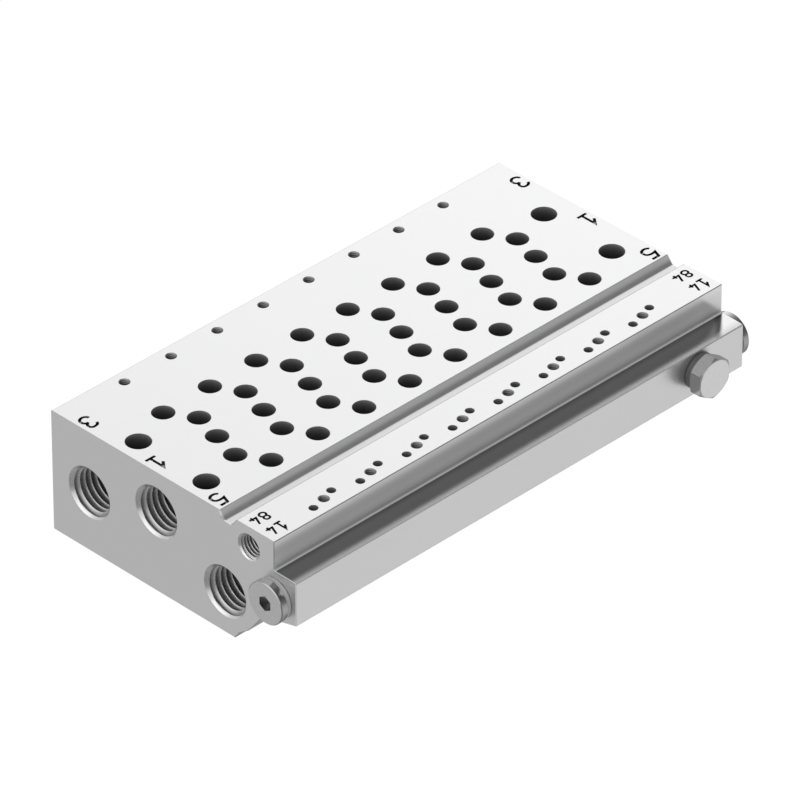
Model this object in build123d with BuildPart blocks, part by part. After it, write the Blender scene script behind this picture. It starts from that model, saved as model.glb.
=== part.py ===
from build123d import *
import math
import os

os.makedirs("parts", exist_ok=True)

# ----------------------------------------------------------------------------
# Driving dimensions, mm. +X runs from the near end to the far end, -Y is the
# front with the leg, +Z is up. The origin is the centre of the four mounting
# holes, on the underside.
# ----------------------------------------------------------------------------
x_near = -50.75            # near end face
x_far = 52.75              # far end face
length = x_far - x_near
height = 23.6              # valve face above the underside
y_back = 24.3              # back face
y_groove_back = -15.05     # back lip of the gasket groove in the valve face
y_groove_front = -18.85    # front lip of the same groove
groove_depth = 1.5
y_ledge = -27.45           # front of the ledge at valve-face height
y_leg = -32.4              # front of the leg
z_leg_top = 18.0
z_leg_low = 9.5
y_leg_crown = -30.8        # from here the leg's top is slightly crowned
leg_crown = 0.08           # fall of that crown at the front edge
edge_break = 0.18          # small break on the outer edges
lip_break = 0.12           # break on the lips of the groove and the ledge
groove_radius = 0.45       # radius at the foot of both sides of the groove
root_radius = 0.35         # radius in the corner between ledge front and leg

pitch = 10.5               # spacing of the valve stations
stations = 8
x_first = -pitch * (stations - 1) / 2

# station ports: x from the station centre, y
port_r = 2.0
port_a = (-1.55, 10.92)
port_b = (1.55, 5.80)
port_c = (0.0, 0.0)
port_d = (-1.55, -5.80)
port_e = (1.55, -10.92)
port_mouth_depth = 6.0     # wide mouth of the working ports
port_bore_r = 1.6          # bore below the mouth of the working ports

screw_y = 21.66            # valve screw holes at the back
screw_r = 1.0              # M2 thread, major radius
screw_drill_r = 0.8        # its tap drill
pilot_screw_y = -24.5      # valve screw holes in the ledge
screw_thread_depth = 4.2
screw_drill_depth = 5.0
pilot_14 = (-2.96, -25.17)
pilot_84 = (2.44, -23.71)
pilot_r = 0.82

# lengthways channels: y, z, radius
channel_3 = (15.45, 11.6, 3.6)
channel_1 = (-0.30, 15.8, 3.0)
channel_5 = (-16.10, 8.1, 4.0)
channel_84 = (-21.70, 19.7, 1.5)
channel_14 = (-27.75, 12.95, 2.2)

# end-face ports
big_major_r = 4.864        # G1/8 thread, major radius
big_drill_r = 4.283
big_thread_depth = 9.0
big_drill_depth = 10.5
small_major_r = 2.5        # M5 thread, major radius
small_drill_r = 2.1
small_thread_depth = 6.0
small_drill_depth = 7.4
outlet_major_r = 2.5       # M5 outlets of the working ports, underside
outlet_thread_depth = 6.0
outlet_drill_depth = 7.2

# mounting holes
mount_x = 46.75
mount_y = 7.87
mount_r = 2.25

# plugs
plug_flange_r = 3.9
plug_flange_t = 1.5
plug_seal_r = 3.75
plug_seal_t = 0.9
plug_shank_r = 2.45
plug_shank_len = 4.5
plug_socket_af = 2.5
plug_socket_depth = 2.0
plug_edge = 0.15
seal_edge = 0.28           # rounding of the sealing rings

hex_x = 42.0
hex_z = 14.05
hex_af = 6.9               # 7 mm head, as made
hex_t = 2.5
hex_face_r = 3.42          # flat of the face inside the 30 degree corners
hex_corner_r = 0.12
hex_collar_r = 3.3
hex_collar_t = 1.3
hex_shank_len = 2.3
hex_hole_depth = 4.4

# engraved numbers
engrave_depth = 0.42
stroke_wide = 0.54
stroke_narrow = 0.42

station_x = [x_first + i * pitch for i in range(stations)]

# ----------------------------------------------------------------------------
# Machined block: lengthways section, then the holes
# ----------------------------------------------------------------------------
with BuildPart() as block:
    with BuildSketch(Plane.YZ.offset(x_near)) as section:
        with BuildLine():
            # the leg's top falls off a little towards its front edge
            TangentArc(
                (y_leg_crown, z_leg_top), (y_leg + edge_break, z_leg_top - leg_crown),
                tangent=(-1, 0),
            )
            Polyline(
                (y_leg + edge_break, z_leg_top - leg_crown),
                (y_leg, z_leg_top - leg_crown - edge_break),
                (y_leg, z_leg_low),
                (-28.9, 8.6),
                (-24.4, 7.0),
                (-22.2, 4.0),
                (-21.2, 2.9),
                (-19.3, 1.5),
                (-18.2, 0.0),
                (y_back, 0.0),
                (y_back, height),
                (y_groove_back, height),
                (y_groove_back - 1.10, height - groove_depth + 0.10),
                (y_groove_front + 1.10, height - groove_depth),
                (y_groove_front, height),
                (y_ledge, height),
                (y_ledge, z_leg_top),
                (y_leg_crown, z_leg_top),
            )
        make_face()
        # the sketch's own coordinates: X is the part's Y, Y is the part's Z
        corners = section.vertices()
        outer = [
            v for v in corners
            if (abs(v.X - y_back) < 1e-4)
            or (abs(v.X - y_leg) < 1e-4 and v.Y < z_leg_low + 0.01)
        ]
        lips = [
            v for v in corners
            if v.Y > height - 0.01 and (
                abs(v.X - y_groove_back) < 1e-4 or abs(v.X - y_groove_front) < 1e-4
                or abs(v.X - y_ledge) < 1e-4
            )
        ]
        assert len(outer) == 3 and len(lips) == 3
        chamfer(outer, edge_break)
        chamfer(lips, lip_break)
        # corner of ledge and leg, foot of the groove, foot of the front
        root = [
            v for v in section.vertices()
            if abs(v.X - y_ledge) < 1e-4 and abs(v.Y - z_leg_top) < 1e-4
        ]
        assert len(root) == 1
        fillet(root, root_radius)
        rise = [
            v for v in section.vertices()
            if abs(v.X - (y_groove_front + 1.10)) < 1e-4
            or abs(v.X - (y_groove_back - 1.10)) < 1e-4
        ]
        assert len(rise) == 2
        fillet(rise, groove_radius)
        foot = [
            v for v in section.vertices()
            if abs(v.X + 28.9) < 1e-4 or abs(v.X + 24.4) < 1e-4
            or abs(v.X + 22.2) < 1e-4 or abs(v.X + 19.3) < 1e-4
        ]
        assert len(foot) == 4
        fillet(foot, 0.6)
    extrude(amount=length)
    ends = block.faces().filter_by(Axis.X).edges()
    chamfer(ends, edge_break * 0.8)

    # mounting holes, right through
    with BuildSketch(Plane.XY):
        with GridLocations(2 * mount_x, 2 * mount_y, 2, 2):
            Circle(mount_r)
    extrude(amount=height, mode=Mode.SUBTRACT)

    # lengthways channels, right through
    with BuildSketch(Plane.YZ.offset(x_near)):
        for y, z, r in (channel_3, channel_1, channel_5, channel_84, channel_14):
            with Locations((y, z)):
                Circle(r)
    extrude(amount=length, mode=Mode.SUBTRACT)

    # large threaded ports at both ends: tap drill, then thread depth
    for plane, side in ((Plane.YZ.offset(x_near), 1), (Plane.YZ.offset(x_far), -1)):
        with BuildSketch(plane):
            for y, z, r in (channel_3, channel_1, channel_5):
                with Locations((y, z)):
                    Circle(big_drill_r)
        extrude(amount=side * big_drill_depth, mode=Mode.SUBTRACT)
        with BuildSketch(plane):
            for y, z, r in (channel_3, channel_1, channel_5):
                with Locations((y, z)):
                    Circle(big_major_r)
        extrude(amount=side * big_thread_depth, mode=Mode.SUBTRACT)
        # pilot ports and the tapped ends of the leg channel
        with BuildSketch(plane):
            with Locations(channel_84[:2]):
                Circle(small_drill_r)
        extrude(amount=side * small_drill_depth, mode=Mode.SUBTRACT)
        with BuildSketch(plane):
            for y, z, r in (channel_84, channel_14):
                with Locations((y, z)):
                    Circle(small_major_r)
        extrude(amount=side * small_thread_depth, mode=Mode.SUBTRACT)

    # tapping for the hexagon head plug, into the leg channel
    with BuildSketch(Plane.XZ.offset(-y_leg)):
        with Locations((hex_x, hex_z)):
            Circle(small_major_r)
    extrude(amount=-hex_hole_depth, mode=Mode.SUBTRACT)

    # exhaust and supply ports of the stations, down to their channels
    for (dx, y), (cy, cz, cr) in (
        (port_a, channel_3), (port_c, channel_1), (port_e, channel_5),
    ):
        with BuildSketch(Plane.XY.offset(height)):
            with Locations(*[(x + dx, y) for x in station_x]):
                Circle(port_r)
        extrude(amount=-(height - cz), mode=Mode.SUBTRACT)

    # working ports of the stations: mouth, bore and threaded outlet below
    for dx, y in (port_b, port_d):
        spots = [(x + dx, y) for x in station_x]
        with BuildSketch(Plane.XY.offset(height)):
            with Locations(*spots):
                Circle(port_r)
        extrude(amount=-port_mouth_depth, mode=Mode.SUBTRACT)
        with BuildSketch(Plane.XY):
            with Locations(*spots):
                Circle(port_bore_r)
        extrude(amount=height, mode=Mode.SUBTRACT)
        with BuildSketch(Plane.XY):
            with Locations(*spots):
                Circle(small_drill_r)
        extrude(amount=outlet_drill_depth, mode=Mode.SUBTRACT)
        with BuildSketch(Plane.XY):
            with Locations(*spots):
                Circle(outlet_major_r)
        extrude(amount=outlet_thread_depth, mode=Mode.SUBTRACT)

    # blind valve screw holes: tap drill with its point, then thread depth
    for y in (screw_y, pilot_screw_y):
        with BuildSketch(Plane.XY.offset(height)):
            with Locations(*[(x, y) for x in station_x]):
                Circle(screw_drill_r)
        extrude(amount=-screw_drill_depth, mode=Mode.SUBTRACT)
        with BuildSketch(Plane.XY.offset(height)):
            with Locations(*[(x, y) for x in station_x]):
                Circle(screw_r)
        extrude(amount=-screw_thread_depth, mode=Mode.SUBTRACT)
        with Locations(*[(x, y, height - screw_drill_depth) for x in station_x]):
            Cone(
                bottom_radius=0,
                top_radius=screw_drill_r,
                height=screw_drill_r / math.tan(math.radians(59)),
                align=(Align.CENTER, Align.CENTER, Align.MAX),
                mode=Mode.SUBTRACT,
            )

    # pilot holes in the ledge, down to their channels
    for (dx, y), (cy, cz, cr) in ((pilot_14, channel_14), (pilot_84, channel_84)):
        with BuildSketch(Plane.XY.offset(height)):
            with Locations(*[(x + dx, y) for x in station_x]):
                Circle(pilot_r)
        extrude(amount=-(height - cz), mode=Mode.SUBTRACT)

    # engraved port numbers at both ends
    for shift_wide, shift_narrow in ((0.0, 0.0), (99.55, 97.5)):
        with BuildSketch(Plane.XY.offset(height)):
            with BuildLine():
                Polyline(
                    (shift_wide - 49.70, -14.25), (shift_wide - 48.20, -14.25),
                    (shift_wide - 47.75, -12.95),
                )
                Spline(
                    (shift_wide - 47.75, -12.95), (shift_wide - 48.90, -13.00),
                    (shift_wide - 49.45, -12.75), (shift_wide - 49.70, -12.20),
                    (shift_wide - 49.60, -11.65), (shift_wide - 49.10, -11.30),
                    (shift_wide - 48.50, -11.25), (shift_wide - 48.00, -11.45),
                    (shift_wide - 47.80, -11.70),
                )
            trace(line_width=stroke_wide)
        extrude(amount=-engrave_depth, mode=Mode.SUBTRACT)
        with BuildSketch(Plane.XY.offset(height)):
            with BuildLine():
                Polyline(
                    (shift_wide - 47.75, 1.10), (shift_wide - 48.75, -0.10),
                    (shift_wide - 48.75, 3.05),
                )
            trace(line_width=stroke_wide)
            with BuildLine():
                Line((shift_wide - 47.65, 3.05), (shift_wide - 49.75, 3.05))
            trace(line_width=stroke_wide)
        extrude(amount=-engrave_depth, mode=Mode.SUBTRACT)
        with BuildSketch(Plane.XY.offset(height)):
            with BuildLine():
                Spline(
                    (shift_wide - 47.75, 16.60), (shift_wide - 48.00, 16.15),
                    (shift_wide - 48.50, 15.95), (shift_wide - 49.00, 15.95),
                    (shift_wide - 49.45, 16.30), (shift_wide - 49.50, 16.75),
                    (shift_wide - 49.25, 17.20), (shift_wide - 48.75, 17.45),
                )
            trace(line_width=stroke_wide)
            with BuildLine():
                Spline(
                    (shift_wide - 48.75, 17.45), (shift_wide - 49.35, 17.55),
                    (shift_wide - 49.65, 18.00), (shift_wide - 49.60, 18.60),
                    (shift_wide - 49.20, 19.00), (shift_wide - 48.60, 19.10),
                    (shift_wide - 48.05, 18.85), (shift_wide - 47.80, 18.35),
                )
            trace(line_width=stroke_wide)
        extrude(amount=-engrave_depth, mode=Mode.SUBTRACT)
        with BuildSketch(Plane.XY.offset(height)):
            # 14
            with BuildLine():
                Polyline(
                    (shift_narrow - 46.10, -25.20), (shift_narrow - 46.75, -26.10),
                    (shift_narrow - 46.75, -23.95),
                )
            trace(line_width=stroke_narrow)
            with BuildLine():
                Line((shift_narrow - 46.00, -23.95), (shift_narrow - 47.45, -23.95))
            trace(line_width=stroke_narrow)
            with BuildLine():
                Polyline(
                    (shift_narrow - 48.85, -26.10), (shift_narrow - 48.10, -24.30),
                    (shift_narrow - 49.45, -24.30),
                )
            trace(line_width=stroke_narrow)
            with BuildLine():
                Line((shift_narrow - 48.95, -24.75), (shift_narrow - 48.80, -23.80))
            trace(line_width=stroke_narrow)
            # 84
            for cy, rx, ry in ((-21.75, 0.52, 0.48), (-20.75, 0.62, 0.55)):
                with Locations((shift_narrow - 46.75, cy)):
                    Ellipse(rx + stroke_narrow / 2, ry + stroke_narrow / 2)
            for cy, rx, ry in ((-21.75, 0.52, 0.48), (-20.75, 0.62, 0.55)):
                with Locations((shift_narrow - 46.75, cy)):
                    Ellipse(
                        rx - stroke_narrow / 2, ry - stroke_narrow / 2,
                        mode=Mode.SUBTRACT,
                    )
            with BuildLine():
                Polyline(
                    (shift_narrow - 48.85, -22.30), (shift_narrow - 48.10, -20.60),
                    (shift_narrow - 49.50, -20.60),
                )
            trace(line_width=stroke_narrow)
            with BuildLine():
                Line((shift_narrow - 48.90, -21.05), (shift_narrow - 48.85, -20.10))
            trace(line_width=stroke_narrow)
        extrude(amount=-engrave_depth, mode=Mode.SUBTRACT)

block.part.label = "manifold_block"
export_step(block.part, "parts/manifold_block.step")

# ----------------------------------------------------------------------------
# Plugs and seals at the two ends of the leg channel
# ----------------------------------------------------------------------------
plug_y, plug_z, plug_r = channel_14

with BuildPart() as near_plug:
    seat = x_near - plug_seal_t
    with BuildSketch(Plane.YZ.offset(seat)):
        with Locations((plug_y, plug_z)):
            Circle(plug_flange_r)
    extrude(amount=-plug_flange_t)
    rim = near_plug.edges().filter_by(GeomType.CIRCLE)
    chamfer(rim, plug_edge)
    with BuildSketch(Plane.YZ.offset(seat)):
        with Locations((plug_y, plug_z)):
            Circle(plug_shank_r)
    extrude(amount=plug_seal_t + plug_shank_len)
    with BuildSketch(Plane.YZ.offset(seat - plug_flange_t)):
        with Locations((plug_y, plug_z)):
            RegularPolygon(plug_socket_af / 2, 6, major_radius=False, rotation=90)
    extrude(amount=plug_socket_depth, mode=Mode.SUBTRACT)

near_plug.part.label = "near_end_plug"
export_step(near_plug.part, "parts/near_end_plug.step")

with BuildPart() as near_seal:
    with BuildSketch(Plane.YZ.offset(x_near)):
        with Locations((plug_y, plug_z)):
            Circle(plug_seal_r)
            Circle(small_major_r, mode=Mode.SUBTRACT)
    extrude(amount=-plug_seal_t)
    fillet(
        near_seal.edges().filter_by(GeomType.CIRCLE).group_by(SortBy.RADIUS)[-1],
        seal_edge,
    )

near_seal.part.label = "near_plug_seal"
export_step(near_seal.part, "parts/near_plug_seal.step")

with BuildPart() as far_plug:
    seat = x_far + plug_seal_t
    with BuildSketch(Plane.YZ.offset(seat)):
        with Locations((plug_y, plug_z)):
            Circle(plug_flange_r)
    extrude(amount=plug_flange_t)
    rim = far_plug.edges().filter_by(GeomType.CIRCLE)
    chamfer(rim, plug_edge)
    with BuildSketch(Plane.YZ.offset(seat)):
        with Locations((plug_y, plug_z)):
            Circle(plug_shank_r)
    extrude(amount=-(plug_seal_t + plug_shank_len))
    with BuildSketch(Plane.YZ.offset(seat + plug_flange_t)):
        with Locations((plug_y, plug_z)):
            RegularPolygon(plug_socket_af / 2, 6, major_radius=False, rotation=90)
    extrude(amount=-plug_socket_depth, mode=Mode.SUBTRACT)

far_plug.part.label = "far_end_plug"
export_step(far_plug.part, "parts/far_end_plug.step")

with BuildPart() as far_seal:
    with BuildSketch(Plane.YZ.offset(x_far)):
        with Locations((plug_y, plug_z)):
            Circle(plug_seal_r)
            Circle(small_major_r, mode=Mode.SUBTRACT)
    extrude(amount=plug_seal_t)
    fillet(
        far_seal.edges().filter_by(GeomType.CIRCLE).group_by(SortBy.RADIUS)[-1],
        seal_edge,
    )

far_seal.part.label = "far_plug_seal"
export_step(far_seal.part, "parts/far_plug_seal.step")

# ----------------------------------------------------------------------------
# Hexagon head plug in the front face of the leg, with its sealing ring
# ----------------------------------------------------------------------------
with BuildPart() as hex_plug:
    seat = -y_leg + hex_collar_t
    with BuildSketch(Plane.XZ.offset(seat)) as hexagon:
        with Locations((hex_x, hex_z)):
            RegularPolygon(hex_af / 2, 6, major_radius=False, rotation=90)
        fillet(hexagon.vertices(), hex_corner_r)
    extrude(amount=hex_t)
    # turned 30 degree corners on both sides of the head
    with BuildSketch(Plane.XY.offset(hex_z)):
        with BuildLine():
            Polyline(
                (hex_x, -seat),
                (hex_x + hex_face_r, -seat),
                (hex_x + hex_face_r + 0.75, -seat - 0.433),
                (hex_x + hex_face_r + 0.75, -seat - hex_t + 0.433),
                (hex_x + hex_face_r, -seat - hex_t),
                (hex_x, -seat - hex_t),
                close=True,
            )
        make_face()
    revolve(
        axis=Axis((hex_x, 0, hex_z), (0, 1, 0)),
        mode=Mode.INTERSECT,
    )
    with BuildSketch(Plane.XZ.offset(seat)):
        with Locations((hex_x, hex_z)):
            Circle(plug_shank_r)
    extrude(amount=-(hex_collar_t + hex_shank_len))

hex_plug.part.label = "hex_head_plug"
export_step(hex_plug.part, "parts/hex_head_plug.step")

with BuildPart() as hex_seal:
    with BuildSketch(Plane.XZ.offset(-y_leg)):
        with Locations((hex_x, hex_z)):
            Circle(hex_collar_r)
            Circle(small_major_r, mode=Mode.SUBTRACT)
    extrude(amount=hex_collar_t)
    fillet(
        hex_seal.edges().filter_by(GeomType.CIRCLE).group_by(SortBy.RADIUS)[-1],
        seal_edge,
    )

hex_seal.part.label = "hex_plug_seal"
export_step(hex_seal.part, "parts/hex_plug_seal.step")
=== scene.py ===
import math

import bpy
from mathutils import Matrix, Vector


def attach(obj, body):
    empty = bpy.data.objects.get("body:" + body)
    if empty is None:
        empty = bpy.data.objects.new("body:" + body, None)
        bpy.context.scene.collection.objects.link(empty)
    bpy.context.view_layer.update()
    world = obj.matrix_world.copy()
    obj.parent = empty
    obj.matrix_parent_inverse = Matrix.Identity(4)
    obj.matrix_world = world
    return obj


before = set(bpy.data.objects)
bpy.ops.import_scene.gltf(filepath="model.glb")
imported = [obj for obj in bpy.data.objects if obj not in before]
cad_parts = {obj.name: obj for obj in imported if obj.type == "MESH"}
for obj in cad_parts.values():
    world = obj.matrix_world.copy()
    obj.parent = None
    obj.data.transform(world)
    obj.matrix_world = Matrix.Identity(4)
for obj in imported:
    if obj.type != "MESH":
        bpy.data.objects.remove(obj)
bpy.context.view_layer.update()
scene = bpy.context.scene
MM = 0.001

# ----------------------------------------------------------------------------
# Sizes in mm, in the frame of the part
# ----------------------------------------------------------------------------
X_NEAR, X_FAR = -50.75, 52.75
HEIGHT = 23.6
PITCH = 10.5
STATION_X = [(i - 3.5) * PITCH for i in range(8)]
BIG_PORTS = {"3": (15.45, 11.6), "1": (-0.30, 15.8), "5": (-16.10, 8.1)}
PILOT_PORT = (-21.70, 19.7)
LEG_AXIS = (-27.75, 12.95)
HEX_AXIS = (42.0, 14.05)


# ----------------------------------------------------------------------------
# Node helpers
# ----------------------------------------------------------------------------
class Tree:
    """Short calls for a material's or the world's nodes."""

    def __init__(self, tree):
        self.t = tree
        self.n = tree.nodes

    def new(self, kind, **props):
        node = self.n.new(kind)
        for k, v in props.items():
            setattr(node, k, v)
        return node

    def put(self, socket, value):
        if isinstance(value, bpy.types.NodeSocket):
            self.t.links.new(value, socket)
        elif value is not None:
            socket.default_value = value

    def math(self, op, a, b=None, c=None, clamp=False):
        node = self.new("ShaderNodeMath", operation=op, use_clamp=clamp)
        for s, v in zip(node.inputs, (a, b, c)):
            self.put(s, v)
        return node.outputs[0]

    def vmath(self, op, a, b=None):
        node = self.new("ShaderNodeVectorMath", operation=op)
        self.put(node.inputs[0], a)
        if b is not None:
            self.put(node.inputs[1], b)
        return node

    def ramp(self, value, lo, hi, to_lo=0.0, to_hi=1.0, smooth=True):
        node = self.new(
            "ShaderNodeMapRange",
            interpolation_type="SMOOTHSTEP" if smooth else "LINEAR",
        )
        node.clamp = True
        for name, v in (
            ("Value", value), ("From Min", lo), ("From Max", hi),
            ("To Min", to_lo), ("To Max", to_hi),
        ):
            self.put(node.inputs[name], v)
        return node.outputs["Result"]

    def mix(self, fac, a, b):
        node = self.new("ShaderNodeMix", data_type="RGBA")
        self.put(node.inputs[0], fac)
        self.put(node.inputs[6], a)
        self.put(node.inputs[7], b)
        return node.outputs[2]

    def fmix(self, fac, a, b):
        node = self.new("ShaderNodeMix", data_type="FLOAT")
        self.put(node.inputs[0], fac)
        self.put(node.inputs[2], a)
        self.put(node.inputs[3], b)
        return node.outputs[0]

    def noise(self, vec, scale, detail=2.0, rough=0.5):
        node = self.new("ShaderNodeTexNoise")
        self.put(node.inputs["Vector"], vec)
        node.inputs["Scale"].default_value = scale
        node.inputs["Detail"].default_value = detail
        node.inputs["Roughness"].default_value = rough
        return node.outputs["Fac"]

    def stretch(self, vec, s):
        return self.vmath("MULTIPLY", vec, s).outputs[0]

    def band(self, value, lo, hi):
        """1 between lo and hi, 0 outside."""
        a = self.math("GREATER_THAN", value, lo)
        b = self.math("LESS_THAN", value, hi)
        return self.math("MULTIPLY", a, b)

    def both(self, *vals):
        out = vals[0]
        for v in vals[1:]:
            out = self.math("MULTIPLY", out, v)
        return out

    def either(self, *vals):
        out = vals[0]
        for v in vals[1:]:
            out = self.math("MAXIMUM", out, v)
        return out


def grey(v):
    return (v, v, v, 1.0)


def material(name):
    m = bpy.data.materials.new(name)
    m.use_nodes = True
    t = Tree(m.node_tree)
    t.n.clear()
    out = t.new("ShaderNodeOutputMaterial")
    p = t.new("ShaderNodeBsdfPrincipled")
    t.t.links.new(p.outputs[0], out.inputs["Surface"])
    coord = t.new("ShaderNodeTexCoord")
    mm = t.stretch(coord.outputs["Object"], (1000.0, 1000.0, 1000.0))
    sep = t.new("ShaderNodeSeparateXYZ")
    t.put(sep.inputs[0], mm)
    return m, t, p, mm, sep.outputs


def bump(t, p, height, strength, distance_mm):
    node = t.new("ShaderNodeBump")
    node.inputs["Strength"].default_value = strength
    node.inputs["Distance"].default_value = distance_mm * MM
    t.put(node.inputs["Height"], height)
    t.put(p.inputs["Normal"], node.outputs[0])
    return node


# ----------------------------------------------------------------------------
# Machined aluminium of the block
# ----------------------------------------------------------------------------
def block_material():
    m, t, p, mm, (x, y, z) = material("milled_aluminium")

    # walls of every bore: a place strictly inside the outer section
    inside_x = t.band(x, X_NEAR + 0.16, X_FAR - 0.16)
    main = t.both(t.band(y, -15.02, 24.08), t.band(z, 0.04, HEIGHT - 0.03))
    groove = t.both(t.band(y, -18.9, -15.02), t.band(z, 0.04, 21.9))
    ledge = t.both(t.band(y, -27.38, -18.9), t.band(z, 9.7, HEIGHT - 0.03))
    leg = t.both(t.band(y, -32.22, -27.38), t.band(z, 9.7, 17.9))
    dy = t.math("SUBTRACT", y, BIG_PORTS["5"][0])
    dz = t.math("SUBTRACT", z, BIG_PORTS["5"][1])
    rr = t.math("ADD", t.math("MULTIPLY", dy, dy), t.math("MULTIPLY", dz, dz))
    port5 = t.math("LESS_THAN", rr, 4.95 ** 2)
    bore = t.both(inside_x, t.either(main, groove, ledge, leg, port5))

    # engraved numbers: below the valve face, within their own small fields
    wide_x = t.either(t.band(x, -50.2, -47.2), t.band(x, 49.35, 52.35))
    wide_y = t.either(
        t.band(y, -14.65, -10.85), t.band(y, -0.6, 3.5), t.band(y, 15.5, 19.5)
    )
    small_x = t.either(t.band(x, -50.0, -45.6), t.band(x, 47.5, 51.9))
    small_y = t.band(y, -26.6, -19.6)
    fields = t.either(t.both(wide_x, wide_y), t.both(small_x, small_y))
    pocket = t.both(fields, t.band(z, HEIGHT - 0.46, HEIGHT - 0.012))
    wall = t.both(fields, t.band(z, HEIGHT - 0.405, HEIGHT - 0.012))
    bore = t.both(bore, t.math("SUBTRACT", 1.0, pocket))

    # faces cut with the side of the mill: groove and ledge front
    side_cut = t.either(
        t.both(t.band(y, -27.47, -27.43), t.band(z, 18.2, HEIGHT - 0.1)),
        t.both(t.band(y, -16.3, -15.05), t.band(z, 22.15, HEIGHT - 0.06)),
    )
    # broken edges of the two ends
    end_x = t.either(t.math("LESS_THAN", x, X_NEAR + 0.142),
                     t.math("GREATER_THAN", x, X_FAR - 0.142))
    end_edge = t.both(end_x, t.either(
        t.math("GREATER_THAN", z, HEIGHT - 0.142),
        t.both(t.band(z, 17.70, 18.30), t.math("LESS_THAN", y, -27.5)),
    ))

    # root of the ledge, front edge of the leg and upright edges of the ends: rougher, and painted
    # darker as edge shade
    root = t.both(t.band(y, -27.80, -27.448), t.band(z, 18.01, 18.36))
    leg_edge = t.both(t.band(y, -32.39, -32.21), t.band(z, 17.73, 17.99))
    upright = t.both(end_x, t.band(y, -32.39, -27.9), t.band(z, 0.3, 17.7), t.math(
        "LESS_THAN", y, -32.22))
    edge_rough_and_shade = t.either(root, leg_edge, upright)

    # fine milling lines along the block and soft clouding
    lines = t.noise(t.stretch(mm, (0.04, 4.5, 4.5)), 1.0, 3.0, 0.6)
    fine = t.noise(t.stretch(mm, (0.35, 14.0, 14.0)), 1.0, 2.0, 0.5)
    cloud = t.noise(mm, 0.09, 3.0, 0.55)
    grain = t.noise(mm, 9.0, 2.0, 0.6)

    tone = t.ramp(cloud, 0.3, 0.7, 0.822, 0.834, smooth=False)
    tone = t.math("MULTIPLY", tone, t.ramp(lines, 0.3, 0.7, 0.985, 1.0, smooth=False))
    face = t.new("ShaderNodeCombineColor")
    t.put(face.inputs[0], tone)
    t.put(face.inputs[1], tone)
    t.put(face.inputs[2], t.math("MULTIPLY", tone, 1.004))
    # painted shade: the bore walls are painted dark, darkest deepest inside the block, with a
    # light grain
    inward = t.math("MINIMUM", z, t.math("SUBTRACT", HEIGHT, z))
    bore_shade_and_grain = t.math("EXPONENT", t.math("MULTIPLY", inward, -1.15))
    bore_shade_and_grain = t.math("ADD", 0.085, t.math("MULTIPLY", bore_shade_and_grain, 0.46))
    bore_shade_and_grain = t.math("MULTIPLY", bore_shade_and_grain, t.ramp(grain, 0.3, 0.7, 0.92, 1.08, smooth=False))
    painted_bore_shade = t.new("ShaderNodeCombineColor")
    for s in painted_bore_shade.inputs[:3]:
        t.put(s, bore_shade_and_grain)
    colour = t.mix(bore, face.outputs[0], painted_bore_shade.outputs[0])
    # painted light and shade on the side-cut faces: the groove wall is painted lighter towards
    # its top, the ledge front lighter towards its lip
    front_cut = t.math("LESS_THAN", y, -20.0)
    to_lip = t.ramp(z, 21.8, 23.3)
    in_groove = t.ramp(z, 22.4, 23.2, 0.51, 0.70)
    side_tone_and_painted_light = t.fmix(to_lip, t.ramp(z, 19.6, 21.4, 0.73, 0.57), 0.83)
    # painted light and shade on the ledge front: a darker strip above its foot, a dip at mid
    # height, a lighter lip, darker towards the far end and a lighter far corner
    side_tone_and_painted_light = t.math("MULTIPLY", side_tone_and_painted_light, t.ramp(z, 18.45, 19.1, 0.80, 1.0))
    corner = t.math("ADD", x, t.math("MULTIPLY", z, 1.05))
    side_tone_and_painted_light = t.math("MULTIPLY", side_tone_and_painted_light, t.ramp(x, 47.0, 50.5, 1.0, 0.86))
    side_tone_and_painted_light = t.fmix(t.ramp(corner, 71.1, 72.6), side_tone_and_painted_light, 0.97)
    side_tone_and_painted_light = t.fmix(front_cut, in_groove, side_tone_and_painted_light)
    side_tone_and_painted_light = t.math("MULTIPLY", side_tone_and_painted_light, t.ramp(fine, 0.3, 0.7, 0.96, 1.0, smooth=False))
    cut = t.new("ShaderNodeCombineColor")
    for s in cut.inputs[:3]:
        t.put(s, side_tone_and_painted_light)
    colour = t.mix(side_cut, colour, cut.outputs[0])
    # painted shade: the inner strip of the leg top under the ledge front is painted darker,
    # clearing along a diagonal towards the far end
    leg_top = t.both(t.band(z, 17.89, 18.36), t.math("LESS_THAN", y, -27.43))
    across = t.math("SUBTRACT", x, y)
    clear = t.math("SUBTRACT", 80.45, t.ramp(y, -31.5, -27.5, 1.4, 0.25, smooth=False))
    leg_top_painted_shade = t.math("MULTIPLY", t.ramp(y, -32.25, -32.1), t.ramp(across, clear, 80.45, 1.0, 0.0))
    inner = t.math("ADD", t.ramp(y, -31.5, -30.9, 0.39, 0.56), t.ramp(y, -29.0, -27.8, 0.0, 0.04))
    inner = t.math("ADD", inner, t.ramp(across, 77.8, 79.5, 0.0, 0.26))
    leg_top_painted_shade = t.math("MULTIPLY", t.math("MULTIPLY", leg_top_painted_shade, leg_top), inner)
    leg_top_painted_shade = t.math("SUBTRACT", 1.0, leg_top_painted_shade)
    shade = t.new("ShaderNodeCombineColor")
    for s in shade.inputs[:3]:
        t.put(s, leg_top_painted_shade)
    painted_shade_mix = t.new("ShaderNodeMix", data_type="RGBA", blend_type="MULTIPLY")
    t.put(painted_shade_mix.inputs[0], 1.0)
    t.put(painted_shade_mix.inputs[6], colour)
    t.put(painted_shade_mix.inputs[7], shade.outputs[0])
    end_face = t.either(t.math("LESS_THAN", x, X_NEAR + 0.01),
                        t.math("GREATER_THAN", x, X_FAR - 0.01))
    leg_front = t.both(t.band(y, -32.41, -32.39), t.math("LESS_THAN", z, 17.75))
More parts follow.
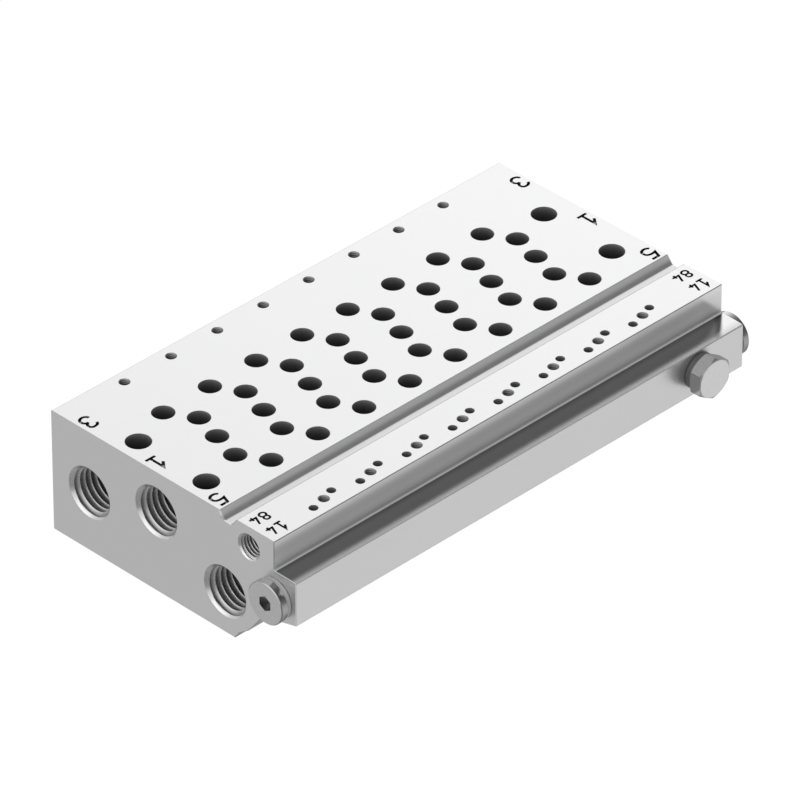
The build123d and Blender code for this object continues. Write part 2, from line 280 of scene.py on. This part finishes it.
    # painted light: the end faces and the leg front are painted lighter than the top
    colour = t.mix(t.math("MULTIPLY", end_face, 0.22), painted_shade_mix.outputs[2], grey(1.0))
    colour = t.mix(t.math("MULTIPLY", leg_front, 0.52), colour, grey(1.0))
    # painted shade: the back top edge is painted darker
    back_lip = t.both(t.ramp(y, 23.7, 24.05), t.math("GREATER_THAN", z, HEIGHT - 0.15))
    colour = t.mix(t.math("MULTIPLY", back_lip, 0.18), colour, grey(0.50))
    # painted shade: these edges are painted darker
    colour = t.mix(edge_rough_and_shade, colour, grey(0.70))
    # painted highlight and shade: a bright line at the foot of the ledge front, a darker strip
    # above it
    root_painted_light_and_shade = t.mix(t.ramp(z, 18.12, 18.23), grey(1.0), grey(0.52))
    colour = t.mix(root, colour, root_painted_light_and_shade)
    # painted shade: the broken edges of the ends are painted darker
    colour = t.mix(end_edge, colour, grey(0.50))
    # painted shade: the engraved pockets are painted dark and their walls near black, with no
    # metal sheen
    colour = t.mix(pocket, colour, grey(0.26))
    colour = t.mix(wall, colour, grey(0.012))
    t.put(p.inputs["Base Color"], colour)
    metal = t.math("SUBTRACT", 1.0, t.math("MULTIPLY", bore, 0.55))
    loss = t.fmix(front_cut, t.ramp(z, 22.4, 23.2, 0.20, 0.92), t.fmix(to_lip, 0.50, 0.40))
    metal = t.math("SUBTRACT", metal, t.math("MULTIPLY", side_cut, loss))
    metal = t.math("SUBTRACT", metal, t.math("MULTIPLY", edge_rough_and_shade, 0.60))
    t.put(p.inputs["Metallic"], t.math("MULTIPLY", metal, t.math("SUBTRACT", 1.0, wall)))

    rough = t.ramp(fine, 0.3, 0.7, 0.17, 0.22, smooth=False)
    rough = t.math("ADD", rough, t.ramp(cloud, 0.3, 0.7, -0.01, 0.02, smooth=False))
    coarse = t.fmix(front_cut, 0.40, t.fmix(to_lip, 0.38, 0.16))
    rough = t.math("ADD", rough, t.math("MULTIPLY", side_cut, coarse))
    rough = t.math("ADD", rough, t.math("MULTIPLY", t.either(end_face, leg_front), 0.16))
    rough = t.math("ADD", rough, t.math("MULTIPLY", edge_rough_and_shade, 0.20))
    rough = t.fmix(bore, rough, 0.36)
    rough = t.fmix(wall, rough, 0.6)
    t.put(p.inputs["Roughness"], rough)

    height = t.math("ADD", t.math("MULTIPLY", fine, 0.6), t.math("MULTIPLY", lines, 0.4))
    bump(t, p, height, 0.5, 0.004)
    return m


# ----------------------------------------------------------------------------
# Cut threads: the same metal, with painted shade in the holes and painted highlights on crests
# and entries
# ----------------------------------------------------------------------------
def thread_material():
    m, t, p, mm, (x, y, z) = material("cut_thread")
    grain = t.noise(mm, 7.0, 2.0, 0.6)

    def reach(py, pz):
        ey = t.math("SUBTRACT", y, py)
        ez = t.math("SUBTRACT", z, pz)
        return t.math("SQRT", t.math(
            "ADD", t.math("MULTIPLY", ey, ey), t.math("MULTIPLY", ez, ez)))

    # painted light and shade: the crests are painted bright and the roots dark
    r = None
    for py, pz in BIG_PORTS.values():
        d = reach(py, pz)
        r = d if r is None else t.math("MINIMUM", r, d)
    big = t.ramp(r, 3.97, 4.83, 1.0, 0.0, smooth=False)
    r5 = reach(*PILOT_PORT)
    small = t.ramp(r5, 2.06, 2.47, 1.0, 0.0, smooth=False)
    shade = t.fmix(t.math("LESS_THAN", r5, 2.56), big, small)
    shade = t.math("POWER", shade, 3.0)
    # painted highlight: the turned entry of each port is painted bright
    depth = t.math("MINIMUM", t.math("SUBTRACT", x, X_NEAR), t.math("SUBTRACT", X_FAR, x))
    entry = t.both(t.math("LESS_THAN", depth, 0.60), t.either(
        t.band(r, 4.25, 5.0), t.band(r5, 2.2, 2.56)))
    shade = t.either(shade, entry)
    at_end = t.both(
        t.math("LESS_THAN", depth, 9.4),
        t.either(t.math("LESS_THAN", r, 5.0), t.math("LESS_THAN", r5, 2.56)),
    )
    # painted shade: the small tapped holes are painted darker with depth
    tone = t.fmix(shade, 0.36, 0.86)
    top_hole = t.ramp(z, 22.3, 23.6, 0.07, 0.40, smooth=False)
    low_hole = t.ramp(z, 0.0, 5.0, 0.55, 0.16, smooth=False)
    other = t.fmix(t.math("LESS_THAN", z, 8.0), top_hole, low_hole)
    tone = t.math("ADD", tone, t.math("MULTIPLY", entry, 0.10))
    tone = t.fmix(at_end, other, tone)
    shade = t.math("MULTIPLY", shade, at_end)
    tone = t.math("MULTIPLY", tone, t.ramp(grain, 0.3, 0.7, 0.93, 1.03, smooth=False))
    c = t.new("ShaderNodeCombineColor")
    for s in c.inputs[:3]:
        t.put(s, tone)
    t.put(p.inputs["Base Color"], c.outputs[0])
    t.put(p.inputs["Metallic"], t.fmix(shade, 0.55, 1.0))
    t.put(p.inputs["Roughness"], t.ramp(grain, 0.3, 0.7, 0.24, 0.32, smooth=False))
    bump(t, p, grain, 0.3, 0.006)
    return m


# ----------------------------------------------------------------------------
# Turned and plated steel of the plugs
# ----------------------------------------------------------------------------
def plug_material():
    m, t, p, mm, (x, y, z) = material("plated_steel")
    # rings round each plug's own axis
    ey = t.math("SUBTRACT", y, LEG_AXIS[0])
    ez = t.math("SUBTRACT", z, LEG_AXIS[1])
    r_end = t.math("SQRT", t.math("ADD", t.math("MULTIPLY", ey, ey), t.math("MULTIPLY", ez, ez)))
    hx = t.math("SUBTRACT", x, HEX_AXIS[0])
    hz = t.math("SUBTRACT", z, HEX_AXIS[1])
    r_hex = t.math("SQRT", t.math("ADD", t.math("MULTIPLY", hx, hx), t.math("MULTIPLY", hz, hz)))
    is_hex = t.both(t.band(x, 30.0, 50.0), t.math("LESS_THAN", y, -30.0))
    r = t.fmix(is_hex, r_end, r_hex)
    rings = t.math("SINE", t.math("MULTIPLY", r, 2 * math.pi / 0.11))
    wobble = t.noise(mm, 1.3, 3.0, 0.6)
    grain = t.noise(mm, 16.0, 2.0, 0.5)
    tone = t.ramp(wobble, 0.3, 0.7, 0.67, 0.71, smooth=False)
    flats = t.band(y, -36.08, -30.0)
    tone = t.math("ADD", tone, t.math("MULTIPLY", is_hex, t.fmix(flats, 0.15, 0.01)))
    tone = t.math("ADD", tone, t.math("MULTIPLY", rings, 0.006))
    c = t.new("ShaderNodeCombineColor")
    t.put(c.inputs[0], tone)
    t.put(c.inputs[1], tone)
    t.put(c.inputs[2], t.math("MULTIPLY", tone, 1.005))
    # painted shade: the inside of the hexagon sockets is painted darker
    deep = t.both(
        t.math("LESS_THAN", r_end, 1.5),
        t.either(t.band(x, -53.12, -40.0), t.band(x, 40.0, 55.12)),
        t.math("SUBTRACT", 1.0, is_hex),
    )
    # painted shade: the rim of each end plug is painted darker
    rim = t.both(t.math("GREATER_THAN", r_end, 3.82), t.math("SUBTRACT", 1.0, is_hex))
    side = t.mix(t.math("MULTIPLY", rim, 0.75), c.outputs[0], grey(0.38))
    # painted shade: one flat of the hexagon is painted darker than the others
    to_flat = t.math("ADD", t.math("MULTIPLY", hx, 0.5), t.math("MULTIPLY", hz, 0.8660254))
    dark_flat = t.both(is_hex, flats, t.math("GREATER_THAN", to_flat, 3.43))
    side = t.mix(t.math("MULTIPLY", dark_flat, 0.95), side, grey(0.19))
    t.put(p.inputs["Base Color"], t.mix(deep, side, grey(0.52)))
    p.inputs["Metallic"].default_value = 1.0
    rough = t.ramp(grain, 0.3, 0.7, 0.14, 0.20, smooth=False)
    rough = t.math("SUBTRACT", rough, t.math("MULTIPLY", dark_flat, 0.10))
    t.put(p.inputs["Roughness"], rough)
    height = t.math("ADD", t.math("MULTIPLY", rings, 0.5), t.math("MULTIPLY", grain, 0.5))
    bump(t, p, height, 0.05, 0.01)
    return m


def seal_material(name, low, high, roughness, metallic=0.0):
    m, t, p, mm, (x, y, z) = material(name)
    grain = t.noise(mm, 5.0, 3.0, 0.6)
    tone = t.ramp(grain, 0.3, 0.7, low, high, smooth=False)
    c = t.new("ShaderNodeCombineColor")
    for s in c.inputs[:3]:
        t.put(s, tone)
    t.put(p.inputs["Base Color"], c.outputs[0])
    p.inputs["Metallic"].default_value = metallic
    t.put(
        p.inputs["Roughness"],
        t.ramp(grain, 0.3, 0.7, roughness - 0.04, roughness + 0.04, smooth=False),
    )
    bump(t, p, grain, 0.08, 0.02)
    return m


def give(node, mat):
    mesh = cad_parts[node].data
    if not mesh.materials:
        mesh.materials.append(mat)
    for i in range(len(mesh.materials)):
        mesh.materials[i] = mat


ALU = block_material()
THREAD = thread_material()
STEEL = plug_material()
RING = seal_material("sealing_ring_light", 0.50, 0.60, 0.34, 0.6)
DARK = seal_material("sealing_ring_dark", 0.13, 0.19, 0.50, 0.55)
give("manifold_block", ALU)
give("near_end_plug", STEEL)
give("far_end_plug", STEEL)
give("hex_head_plug", STEEL)
give("near_plug_seal", RING)
give("far_plug_seal", RING)
give("hex_plug_seal", DARK)


# ----------------------------------------------------------------------------
# Threads: closed sleeves that line the holes, with a true helix inside
# ----------------------------------------------------------------------------
ROWS = (0.0, 0.04, 0.15, 0.26, 0.37, 0.47, 0.53, 0.63, 0.74, 0.85, 0.96)
FEW_ROWS = (0.0, 0.06, 0.28, 0.47, 0.53, 0.72, 0.94)


def sleeve(verts, faces, start, axis, side, r_root, r_crest, pitch, depth,
           columns, rows_per_turn, phase=0.0, mouth=None, r_end=None, turn=0.0):
    """Adds one sleeve. start is the mouth's centre and axis points into the hole."""
    a = Vector(axis).normalized()
    u = Vector(side).normalized()
    v = a.cross(u)
    s0, s1 = 0.012, depth
    outer = mouth + 0.035
    r_end = r_crest if r_end is None else r_end
    runout = 0.6 * pitch
    steps = []
    for k in range(-2, int(depth / pitch) + 3):
        steps += [k + f - phase for f in rows_per_turn]
    rows = len(steps) - 1

    def radius(s, ph):
        w = min(ph, 1.0 - ph)
        w = min(max((w - 0.04) / 0.43, 0.0), 1.0)
        r = r_crest + (r_root - r_crest) * w
        r = max(r, mouth - (s - s0))
        fade = (s1 - s) / runout
        if fade < 1.0:
            r = r_end + (r - r_end) * max(fade, 0.0)
        return r

    def at(s, r, ang):
        p = Vector(start) + a * s + (u * math.cos(ang) + v * math.sin(ang)) * r
        return (p.x * MM, p.y * MM, p.z * MM)

    index = {}

    def vid(p):
        key = (round(p[0] * 1e8), round(p[1] * 1e8), round(p[2] * 1e8))
        if key not in index:
            index[key] = len(verts)
            verts.append(p)
        return index[key]

    grid = []
    for j in range(columns + 1):
        ang = 2 * math.pi * (j % columns) / columns
        col = []
        for i in range(rows + 1):
            s = (steps[i] + j / columns) * pitch
            s = min(max(s, s0), s1)
            ph = (steps[i] + phase) % 1.0
            if s <= s0 + 1e-9:
                s, r = s0, mouth
            elif s >= s1 - 1e-9:
                s, r = s1, r_end
            else:
                r = radius(s, ph)
            col.append(vid(at(s, r, ang + turn)))
        grid.append(col)
    front = [vid(at(s0, outer, 2 * math.pi * j / columns + turn)) for j in range(columns)]
    back = [vid(at(s1, outer, 2 * math.pi * j / columns + turn)) for j in range(columns)]

    def face(*ids):
        clean = []
        for k in ids:
            if k not in clean:
                clean.append(k)
        if len(clean) >= 3:
            faces.append(tuple(clean))

    for j in range(columns):
        k = (j + 1) % columns
        for i in range(rows):
            # inner side faces the axis; the seam joins itself one turn on
            face(grid[j][i], grid[j][i + 1], grid[j + 1][i + 1], grid[j + 1][i])
        face(front[j], grid[j][0], grid[j + 1][0], front[k])
        face(back[k], grid[j + 1][rows], grid[j][rows], back[j])
        face(front[k], back[k], back[j], front[j])


def build(name, parts, mat):
    verts, faces = [], []
    for kw in parts:
        sleeve(verts, faces, **kw)
    mesh = bpy.data.meshes.new(name)
    mesh.from_pydata(verts, [], faces)
    mesh.validate()
    import bmesh
    bm = bmesh.new()
    bm.from_mesh(mesh)
    bmesh.ops.remove_doubles(bm, verts=bm.verts, dist=2e-8)
    bmesh.ops.dissolve_degenerate(bm, edges=bm.edges, dist=1e-8)
    bmesh.ops.recalc_face_normals(bm, faces=bm.faces)
    bm.to_mesh(mesh)
    bm.free()
    mesh.shade_smooth()
    mesh.set_sharp_from_angle(angle=math.radians(38))
    obj = bpy.data.objects.new(name, mesh)
    scene.collection.objects.link(obj)
    mesh.materials.append(mat)
    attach(obj, "root")
    return obj


for end, x0, ax in (("near", X_NEAR, (1, 0, 0)), ("far", X_FAR, (-1, 0, 0))):
    for num, (py, pz) in BIG_PORTS.items():
        build(f"thread_{num}_{end}", [dict(
            start=(x0, py, pz), axis=ax, side=(0, 0, 1),
            r_root=4.83, r_crest=3.97, pitch=1.22, depth=9.0,
            columns=96, rows_per_turn=ROWS, phase=0.38, mouth=4.86, r_end=4.25,
        )], THREAD)
    build(f"thread_84_{end}", [dict(
        start=(x0, *PILOT_PORT), axis=ax, side=(0, 0, 1),
        r_root=2.47, r_crest=2.06, pitch=0.64, depth=6.0,
        columns=64, rows_per_turn=ROWS, phase=0.31, mouth=2.496,
    )], THREAD)

build("thread_outlets", [
    dict(start=(sx + dx, dy, 0.0), axis=(0, 0, 1), side=(1, 0, 0),
         r_root=2.47, r_crest=2.08, pitch=0.8, depth=6.0,
         columns=48, rows_per_turn=FEW_ROWS, phase=0.3, mouth=2.496)
    for sx in STATION_X for dx, dy in ((1.55, 5.80), (-1.55, -5.80))
], THREAD)
build("thread_valve_screws", [
    dict(start=(sx, sy, HEIGHT), axis=(0, 0, -1), side=(1, 0, 0),
         r_root=0.97, r_crest=0.80, pitch=0.4, depth=4.2,
         columns=32, rows_per_turn=FEW_ROWS, phase=0.3, mouth=0.996)
    for sx in STATION_X for sy in (21.66, -24.5)
], THREAD)

# ----------------------------------------------------------------------------
# Floor, light and camera
# ----------------------------------------------------------------------------
floor_mesh = bpy.data.meshes.new("floor")
F = 6.0
floor_mesh.from_pydata(
    [(-F, -F, -0.00012), (F, -F, -0.00012), (F, F, -0.00012), (-F, F, -0.00012)],
    [], [(0, 1, 2, 3)],
)
floor = bpy.data.objects.new("floor", floor_mesh)
scene.collection.objects.link(floor)
fm = bpy.data.materials.new("floor_white")
fm.use_nodes = True
ft = Tree(fm.node_tree)
ft.n.clear()
fo = ft.new("ShaderNodeOutputMaterial")
fd = ft.new("ShaderNodeBsdfDiffuse")
fd.inputs["Color"].default_value = grey(0.06)
fe = ft.new("ShaderNodeEmission")
fe.inputs["Color"].default_value = grey(1.0)
fe.inputs["Strength"].default_value = 0.985
fa = ft.new("ShaderNodeAddShader")
ft.put(fa.inputs[0], fd.outputs[0])
ft.put(fa.inputs[1], fe.outputs[0])
ft.put(fo.inputs["Surface"], fa.outputs[0])
floor_mesh.materials.append(fm)
floor.visible_glossy = False

world = bpy.data.worlds.new("studio")
scene.world = world
world.use_nodes = True
wt = Tree(world.node_tree)
wt.n.clear()
wout = wt.new("ShaderNodeOutputWorld")
bg = wt.new("ShaderNodeBackground")
wt.put(wout.inputs["Surface"], bg.outputs[0])
coord = wt.new("ShaderNodeTexCoord")
d = wt.vmath("NORMALIZE", coord.outputs["Generated"]).outputs[0]
wsep = wt.new("ShaderNodeSeparateXYZ")
wt.put(wsep.inputs[0], d)
wz = wsep.outputs[2]


def toward(az, el):
    a, e = math.radians(az), math.radians(el)
    return (math.cos(a) * math.cos(e), math.sin(a) * math.cos(e), math.sin(e))


def lobe(az, el, width, amount):
    """A soft round glow in one direction. az is measured from +X towards +Y."""
    dot = wt.vmath("DOT_PRODUCT", d, toward(az, el)).outputs["Value"]
    k = 1.0 / (1.0 - math.cos(math.radians(width)))
    e = wt.math("EXPONENT", wt.math("MULTIPLY", wt.math("SUBTRACT", dot, 1.0), k))
    return wt.math("MULTIPLY", e, amount)


upper = wt.ramp(wz, -0.10, 0.0)
low = wt.math("DIVIDE", wz, 0.32)
low = wt.math("EXPONENT", wt.math("MULTIPLY", wt.math("MULTIPLY", low, low), -1.0))
low = wt.math("MULTIPLY", low, wt.math("SUBTRACT", 0.45, lobe(-45, 8, 40, 0.27)))
sky = wt.math("ADD", 0.07, low)
for az, el, width, amount in (
    (38, 16, 30, 1.525),
    (156, 30, 36, 1.02),
    (-108, 38, 24, 0.62),
    (-152, 38, 25, 0.60),
    (0, 90, 24, 0.50),
):
    sky = wt.math("ADD", sky, lobe(az, el, width, amount))
ground = wt.math("ADD", 0.22, lobe(-45, -26, 36, 0.50))
ground = wt.math("ADD", ground, lobe(135, -38, 35, 0.32))
ground = wt.math("ADD", ground, lobe(62, -30, 28, 0.16))
total = wt.fmix(upper, ground, sky)
wt.put(bg.inputs["Color"], grey(1.0))
wt.put(bg.inputs["Strength"], total)

camera = bpy.data.cameras.new("camera")
camera.sensor_width = 36.0
camera.lens = 415.306
camera.clip_start, camera.clip_end = 0.05, 50.0
cam = bpy.data.objects.new("camera", camera)
scene.collection.objects.link(cam)
right = Vector((0.70743894, -0.70677387, 0.00091818))
down = Vector((-0.40316608, -0.4046118, -0.82082057))
ahead = Vector((0.58050603, 0.58031025, -0.57118539))
place = Matrix((
    (right.x, -down.x, -ahead.x, -0.876992),
    (right.y, -down.y, -ahead.y, -0.881641),
    (right.z, -down.z, -ahead.z, 0.877985),
    (0.0, 0.0, 0.0, 1.0),
))
cam.matrix_world = place
scene.camera = cam

scene.view_settings.view_transform = "Standard"
scene.view_settings.look = "None"
scene.view_settings.exposure = 0.0
scene.view_settings.gamma = 1.0
